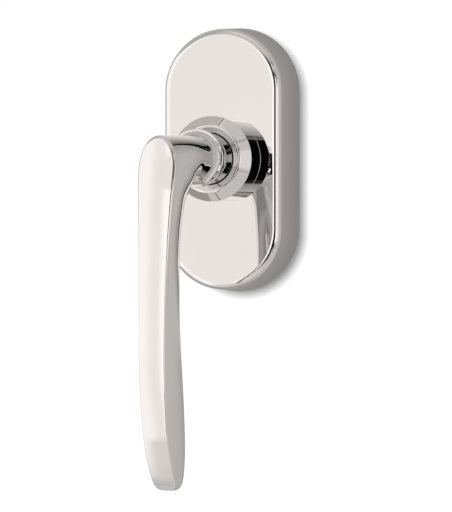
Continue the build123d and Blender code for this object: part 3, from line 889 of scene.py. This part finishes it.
# ====================================================================================================
# Fixing screws: countersunk heads with a cross recess, rolled thread
# ====================================================================================================
def fixing_screws():
    N, PITCH = 48, 0.8
    patches = []
    for sz in (21.5, -21.5):
        rings = []
        a = np.arange(N) * 2 * math.pi / N
        c, s = np.cos(a), np.sin(a)

        def ring(y, r, ny, nr, rr=None):
            r = np.broadcast_to(r, (N,))
            return np.stack([r * c, np.full(N, -y) if np.isscalar(y) else -y, sz + r * s], 1), np.stack([nr * c, np.full(N, -ny), nr * s], 1)

        head = -5.4
        cross = np.maximum(np.exp(-((2.3 * np.minimum(abs(s), abs(c))) ** 8)), 0)
        rings.append(ring(head + 1.9, 0.001, -1, 0))
        rings.append(ring(head + 1.8, 0.45, -1, 0))
        arm = np.where(np.minimum(abs(s), abs(c)) < 0.24, 2.1, 0.85)
        deep = head + 1.7
        rings.append(ring(deep, arm * 0.80, -1, 0.2))
        rings.append(ring(head + 0.08, arm, -0.6, -0.6))
        rings.append(ring(head, arm + 0.10, -1, 0))
        rings.append(ring(head, 3.4, -1, 0))
        rings.append(ring(head + 0.01, 4.50, -1, 0.1))
        rings.append(ring(head + 0.08, 4.60, -0.5, 0.8))
        rings.append(ring(head + 0.18, 4.60, 0.3, 0.9))
        rings.append(ring(head + 2.50, 2.28, 0.7, 0.7))
        rings.append(ring(head + 2.70, 2.20, 0.1, 1))
        rings.append(ring(10.0, 2.20, 0, 1))
        steps = int((33.9 - 10.2) / PITCH * 8)
        for i in range(steps + 1):
            y = 10.2 + i * PITCH / 8
            ph = (y / PITCH - a / (2 * math.pi)) % 1.0
            w = np.abs(ph - 0.5) * 2
            depth = np.clip((w - 0.12) / 0.76, 0, 1)
            fade = min(1.0, i / 8.0) if i < 8 else min(1.0, (steps - i) / 6.0)
            crest = 2.5 - 0.43 * depth
            r = 2.20 * (1 - fade) + crest * fade if i < 8 else np.minimum(crest, 1.95 + 0.55 * fade)
            slope = np.where((w > 0.12) & (w < 0.88), np.sign(ph - 0.5), 0.0)
            m = np.stack([c * 0.8, np.zeros(N), s * 0.8], 1)
            m[:, 1] = -slope * 0.7 * fade
            rings.append((np.stack([r * c, np.full(N, -y), sz + r * s], 1), m))
        rings.append(ring(34.3, 1.75, 0.6, 0.6))
        rings.append(ring(34.6, 1.35, 1, 0.2))
        rings.append(ring(34.6, 0.001, 1, 0))
        patches.append(rings_patch(rings, False))
    return patches_object("fixing_screws_threaded", patches, PLATED, "base", ["fixing_screws"])


rosette_cover()
collar_ring()
neck_sleeve()
lever()
fixing_screws()

# every other CAD node keeps its own shape and gets its finish
for name, obj in NODES.items():
    slots = [m.name.split(".")[0] if m else "" for m in obj.data.materials]
    slot = next((s for s in slots if s in SLOT_MATERIAL), None)
    if slot is None:
        for entry in frame["record"].get("materials", []):
            if name in (entry.get("nodes") or []):
                slot = entry.get("slot")
    print("node", name, "materials", slots, "->", slot)
    mat = SLOT_MATERIAL.get(slot, ZINC)
    if not len(obj.data.materials):
        obj.data.materials.append(mat)
    for i in range(len(obj.data.materials)):
        obj.material_slots[i].material = mat


# ====================================================================================================
# Stage: the wall the handle is held against, a floor, the studio around it
# ====================================================================================================
def stage_mesh(name, verts, faces, material):
    mesh = bpy.data.meshes.new(name)
    mesh.from_pydata(verts, [], faces)
    mesh.update()
    mesh.materials.append(material)
    o = bpy.data.objects.new(name, mesh)
    bpy.context.scene.collection.objects.link(o)
    o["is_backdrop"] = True
    return o


def shader_math(nt, op, a, b=None, c=None, clamp=False):
    n = nt.nodes.new("ShaderNodeMath")
    n.operation = op
    n.use_clamp = clamp
    for i, v in enumerate((a, b, c)):
        if v is None:
            continue
        if isinstance(v, (int, float)):
            n.inputs[i].default_value = v
        else:
            nt.links.new(v, n.inputs[i])
    return n.outputs[0]


def oval_distance(nt, x, z, dx, dz):
    """Distance in mm outside the foot of the rosette, with the oval moved by dx, dz."""
    xm = shader_math(nt, "MULTIPLY_ADD", x, 1000.0, -dx)
    zm = shader_math(nt, "MULTIPLY_ADD", z, 1000.0, -dz)
    over = shader_math(nt, "MAXIMUM", shader_math(nt, "SUBTRACT", shader_math(nt, "ABSOLUTE", zm), OVAL_C), 0.0)
    r2 = shader_math(nt, "ADD", shader_math(nt, "MULTIPLY", xm, xm), shader_math(nt, "MULTIPLY", over, over))
    return shader_math(nt, "SUBTRACT", shader_math(nt, "SQRT", r2), 18.2)


def wall_material():
    """A pale matt board, drawn as glow: the soft shade a little to the right of and below the rosette is painted shade
    in that glow.
    """
    m = bpy.data.materials.new("wall")
    m.use_nodes = True
    nt = m.node_tree
    for n in list(nt.nodes):
        nt.nodes.remove(n)
    out = nt.nodes.new("ShaderNodeOutputMaterial")
    lp = nt.nodes.new("ShaderNodeLightPath")
    geo = nt.nodes.new("ShaderNodeNewGeometry")
    sep = nt.nodes.new("ShaderNodeSeparateXYZ")
    nt.links.new(geo.outputs["Position"], sep.inputs[0])
    # painted contact shadow seen by the camera: the glow falls to 0.33 on an oval a little right of and below the
    # rosette foot
    near = ramp(nt, oval_distance(nt, sep.outputs[0], sep.outputs[2], 1.40, -1.20), -1.5, 1.45, 0.33, 1.03)
    # painted shade seen in reflections: the board glows darker near the rosette foot and brighter 16 mm out
    far = nt.nodes.new("ShaderNodeMapRange")
    far.interpolation_type = "SMOOTHSTEP"
    far.inputs["From Min"].default_value, far.inputs["From Max"].default_value = -2.0, 16.0
    far.inputs["To Min"].default_value, far.inputs["To Max"].default_value = WALL_NEAR, WALL_FAR
    nt.links.new(oval_distance(nt, sep.outputs[0], sep.outputs[2], 0.5, -0.5), far.inputs["Value"])
    # painted shade standing in for the shadow the hanging lever leaves on the board below the rosette, seen in
    # reflections only: darker near x = 0
    across = nt.nodes.new("ShaderNodeMapRange")
    across.interpolation_type = "SMOOTHSTEP"
    across.inputs["From Min"].default_value, across.inputs["From Max"].default_value = -0.004, 0.070
    across.inputs["To Min"].default_value, across.inputs["To Max"].default_value = 0.40, 0.84
    nt.links.new(sep.outputs[0], across.inputs["Value"])
    low = nt.nodes.new("ShaderNodeMapRange")
    low.interpolation_type = "SMOOTHSTEP"
    low.inputs["From Min"].default_value, low.inputs["From Max"].default_value = -0.046, -0.062
    nt.links.new(sep.outputs[2], low.inputs["Value"])
    shade = shader_math(nt, "MULTIPLY_ADD", shader_math(nt, "SUBTRACT", across.outputs[0], far.outputs[0]), low.outputs[0], far.outputs[0])
    seen = nt.nodes.new("ShaderNodeEmission")
    seen.inputs["Color"].default_value = (1.0, 1.0, 0.997, 1)
    nt.links.new(near, seen.inputs["Strength"])
    # glow seen in reflections, carrying the painted shade
    rest = nt.nodes.new("ShaderNodeEmission")
    rest.inputs["Color"].default_value = TINT
    nt.links.new(shade, rest.inputs["Strength"])
    mix = nt.nodes.new("ShaderNodeMixShader")
    nt.links.new(lp.outputs["Is Camera Ray"], mix.inputs[0])
    nt.links.new(rest.outputs[0], mix.inputs[1])
    nt.links.new(seen.outputs[0], mix.inputs[2])
    clear = nt.nodes.new("ShaderNodeBsdfTransparent")
    mix2 = nt.nodes.new("ShaderNodeMixShader")
    nt.links.new(geo.outputs["Backfacing"], mix2.inputs[0])
    nt.links.new(mix.outputs[0], mix2.inputs[1])
    nt.links.new(clear.outputs[0], mix2.inputs[2])
    nt.links.new(mix2.outputs[0], out.inputs[0])
    return m


TINT = (1.046, 1.0, 0.965, 1)
# painted shade: the board's glow in reflections near the rosette foot and far from it
WALL_NEAR, WALL_FAR = 0.30, 0.60
Y0 = 0.0004
stage_mesh("wall", [(-1.2, Y0, -0.28), (1.2, Y0, -0.28), (1.2, Y0, 1.1), (-1.2, Y0, 1.1)], [[0, 1, 2, 3]], wall_material())

floor_mat, fnt, fb, ftex = new_material("floor")
fb.inputs["Base Color"].default_value = (0.84, 0.835, 0.82, 1)
fb.inputs["Roughness"].default_value = 0.7
floor = stage_mesh("floor", [(-2, -2, -0.28), (2, -2, -0.28), (2, 2, -0.28), (-2, 2, -0.28)], [[0, 1, 2, 3]], floor_mat)
floor.visible_glossy = False

world = bpy.data.worlds.new("studio")
bpy.context.scene.world = world
world.use_nodes = True
nt = world.node_tree
for n in list(nt.nodes):
    nt.nodes.remove(n)


def math_node(op, a, b=None, c=None):
    n = nt.nodes.new("ShaderNodeMath")
    n.operation = op
    for i, v in enumerate((a, b, c)):
        if v is None:
            continue
        if isinstance(v, (int, float)):
            n.inputs[i].default_value = v
        else:
            nt.links.new(v, n.inputs[i])
    return n.outputs[0]


def rise(v, a, b):
    """0 below a, 1 above b, smooth between."""
    n = nt.nodes.new("ShaderNodeMapRange")
    n.interpolation_type = "SMOOTHSTEP"
    n.inputs["From Min"].default_value, n.inputs["From Max"].default_value = a, b
    nt.links.new(v, n.inputs["Value"])
    return n.outputs[0]


def window(v, a, b, soft):
    return math_node("MULTIPLY", rise(v, a - soft, a + soft), math_node("SUBTRACT", 1.0, rise(v, b - soft, b + soft)))


def lay(base, value, mask):
    """base where mask is 0, value where it is 1."""
    if isinstance(value, (int, float)):
        d = math_node("SUBTRACT", value, base)
    else:
        d = math_node("SUBTRACT", value, base)
    return math_node("MULTIPLY_ADD", d, mask, base)


tc = nt.nodes.new("ShaderNodeTexCoord")
sep = nt.nodes.new("ShaderNodeSeparateXYZ")
nt.links.new(tc.outputs["Generated"], sep.inputs[0])
X, Y, Z = sep.outputs
az = math_node("MULTIPLY", math_node("ARCTAN2", X, math_node("MULTIPLY", Y, -1.0)), 180 / math.pi)
el = math_node("MULTIPLY", math_node("ARCSINE", Z), 180 / math.pi)

def invert(v):
    return math_node("SUBTRACT", 1.0, v)


def both(a, b):
    return math_node("MULTIPLY", a, b)


# the room beyond the light tent
below = math_node("MULTIPLY_ADD", rise(X, -0.52, -0.36), -0.42, 1.30)
L = lay(math_node("ADD", 0.70, 0.0), below, both(window(az, -60.0, 30.0, 14.0), window(el, -62.0, -24.0, 14.0)))
L = lay(L, 0.92, both(window(az, -50.0, 60.0, 14.0), rise(el, 52.0, 74.0)))
L = lay(L, 0.54, both(invert(rise(az, -48.0, -24.0)), window(el, 24.0, 66.0, 6.0)))
# the tent: a broad white field in front of the handle
top = math_node("MULTIPLY_ADD", rise(az, -30.0, -12.0), -11.0, 28.0)
foot = math_node("MULTIPLY_ADD", rise(az, 34.0, 62.0), 9.0, -27.5)
foot = math_node("MULTIPLY_ADD", window(az, -50.0, -5.0, 5.0), -5.5, foot)
tent = both(invert(rise(math_node("SUBTRACT", el, top), -3.0, 3.0)), rise(math_node("SUBTRACT", el, foot), -4.0, 4.0))
white = lay(math_node("ADD", 1.27, 0.0), 1.085, invert(rise(math_node("ABSOLUTE", math_node("ADD", az, 19.5)), 1.5, 9.5)))
white = lay(white, 1.33, window(az, -16.9, 2.0, 2.2))
white = lay(white, 1.36, window(az, -9.0, 12.0, 3.0))
white = lay(white, 1.22, rise(az, 36.0, 44.0))
white = lay(white, 0.90, rise(az, 50.0, 78.0))
L = lay(L, white, tent)
# darker edges and gaps of the tent
L = lay(L, 0.24, both(window(az, 47.0, 66.0, 6.0), window(el, 9.0, 42.0, 7.0)))
L = lay(L, 0.42, both(rise(az, 60.0, 68.0), window(el, 35.5, 38.5, 1.5)))
L = lay(L, 0.50, both(rise(az, 52.0, 66.0), window(el, -26.0, -23.5, 1.5)))
off = math_node("ABSOLUTE", math_node("SUBTRACT", az, 20.0))
fade = math_node("MAXIMUM", math_node("MULTIPLY_ADD", math_node("POWER", math_node("MAXIMUM", math_node("SUBTRACT", off, 7.0), 0.0), 0.62), 0.142, 0.0), 0.0)
fade = math_node("MINIMUM", fade, 1.05)
# close to the dark opening the light falls off with height too
side = rise(az, 2.0, 8.0)
over = lay(math_node("ADD", 2.0, 0.0), math_node("MAXIMUM", math_node("MULTIPLY_ADD", el, 0.10, -1.73), 0.12), side)
under = lay(math_node("ADD", 2.0, 0.0), math_node("MAXIMUM", math_node("MULTIPLY_ADD", el, -0.060, -1.06), 0.02), side)
L = lay(L, math_node("MINIMUM", fade, over), both(window(az, -24.0, 60.0, 6.0), window(el, 16.4, 30.0, 2.0)))
L = lay(L, math_node("MINIMUM", both(fade, 0.85), under), both(window(az, -12.5, 52.0, 4.5), window(el, -31.0, -16.0, 1.6)))
# the horizon where the board ends
L = lay(L, 0.28, invert(rise(math_node("ABSOLUTE", Y), 0.002, 0.010)))
# the dark of the photographer's side, seen in the mirror of the metal
L = lay(L, 0.002, both(window(az, 9.5, 37.0, 1.2), window(el, -18.0, 17.0, 0.9)))
L = lay(L, 0.80, both(window(az, 31.0, 40.0, 0.5), window(el, -7.0, 12.5, 0.8)))

bg_refl = nt.nodes.new("ShaderNodeBackground")
comb = nt.nodes.new("ShaderNodeCombineColor")
nt.links.new(math_node("MULTIPLY", L, TINT[0]), comb.inputs[0])
nt.links.new(L, comb.inputs[1])
nt.links.new(math_node("MULTIPLY", L, TINT[2]), comb.inputs[2])
nt.links.new(comb.outputs[0], bg_refl.inputs["Color"])
bg_cam = nt.nodes.new("ShaderNodeBackground")
bg_cam.inputs["Color"].default_value = (0.93, 0.93, 0.93, 1)
bg_diff = nt.nodes.new("ShaderNodeBackground")
bg_diff.inputs["Color"].default_value = (1, 0.995, 0.985, 1)
bg_diff.inputs["Strength"].default_value = 1.1
lp = nt.nodes.new("ShaderNodeLightPath")
m1 = nt.nodes.new("ShaderNodeMixShader")
nt.links.new(lp.outputs["Is Camera Ray"], m1.inputs[0])
nt.links.new(bg_refl.outputs[0], m1.inputs[1])
nt.links.new(bg_cam.outputs[0], m1.inputs[2])
m2 = nt.nodes.new("ShaderNodeMixShader")
nt.links.new(lp.outputs["Is Diffuse Ray"], m2.inputs[0])
nt.links.new(m1.outputs[0], m2.inputs[1])
nt.links.new(bg_diff.outputs[0], m2.inputs[2])
wout = nt.nodes.new("ShaderNodeOutputWorld")
nt.links.new(m2.outputs[0], wout.inputs[0])


def area(name, at, look, size, power, colour=(1, 1, 1)):
    light = bpy.data.lights.new(name, "AREA")
    light.shape = "RECTANGLE"
    light.size, light.size_y = size
    light.energy = power
    light.color = colour
    o = bpy.data.objects.new(name, light)
    bpy.context.scene.collection.objects.link(o)
    o.location = at
    o.rotation_euler = (Vector(look) - Vector(at)).to_track_quat("-Z", "Y").to_euler()
    o.visible_glossy = False
    o.visible_camera = False
    return o


area("key", (-0.75, -1.2, 0.9), (0, 0, -0.02), (0.7, 0.7), 14.0, (1.0, 0.99, 0.97))

# ====================================================================================================
# Camera
# ====================================================================================================
cam = bpy.data.cameras.new("camera")
cam.lens, cam.sensor_width = 148.64, 36.0
cam.clip_start, cam.clip_end = 0.01, 20.0
cam_obj = bpy.data.objects.new("camera", cam)
bpy.context.scene.collection.objects.link(cam_obj)
cam_obj.location = (0.204949, -0.562267, -0.010379)
cam_obj.rotation_euler = (Vector((-0.003794, 0.0, -0.027169)) - cam_obj.location).to_track_quat("-Z", "Y").to_euler()
bpy.context.scene.camera = cam_obj

scene = bpy.context.scene
scene.view_settings.view_transform = "Standard"
scene.view_settings.look = "None"
scene.view_settings.exposure = 0.0
scene.view_settings.gamma = 1.0

new_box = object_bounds()
as_lists = lambda b: [[float(v) for v in corner] for corner in b]
{"cad": as_lists(cad_box), "visual": as_lists(new_box)}
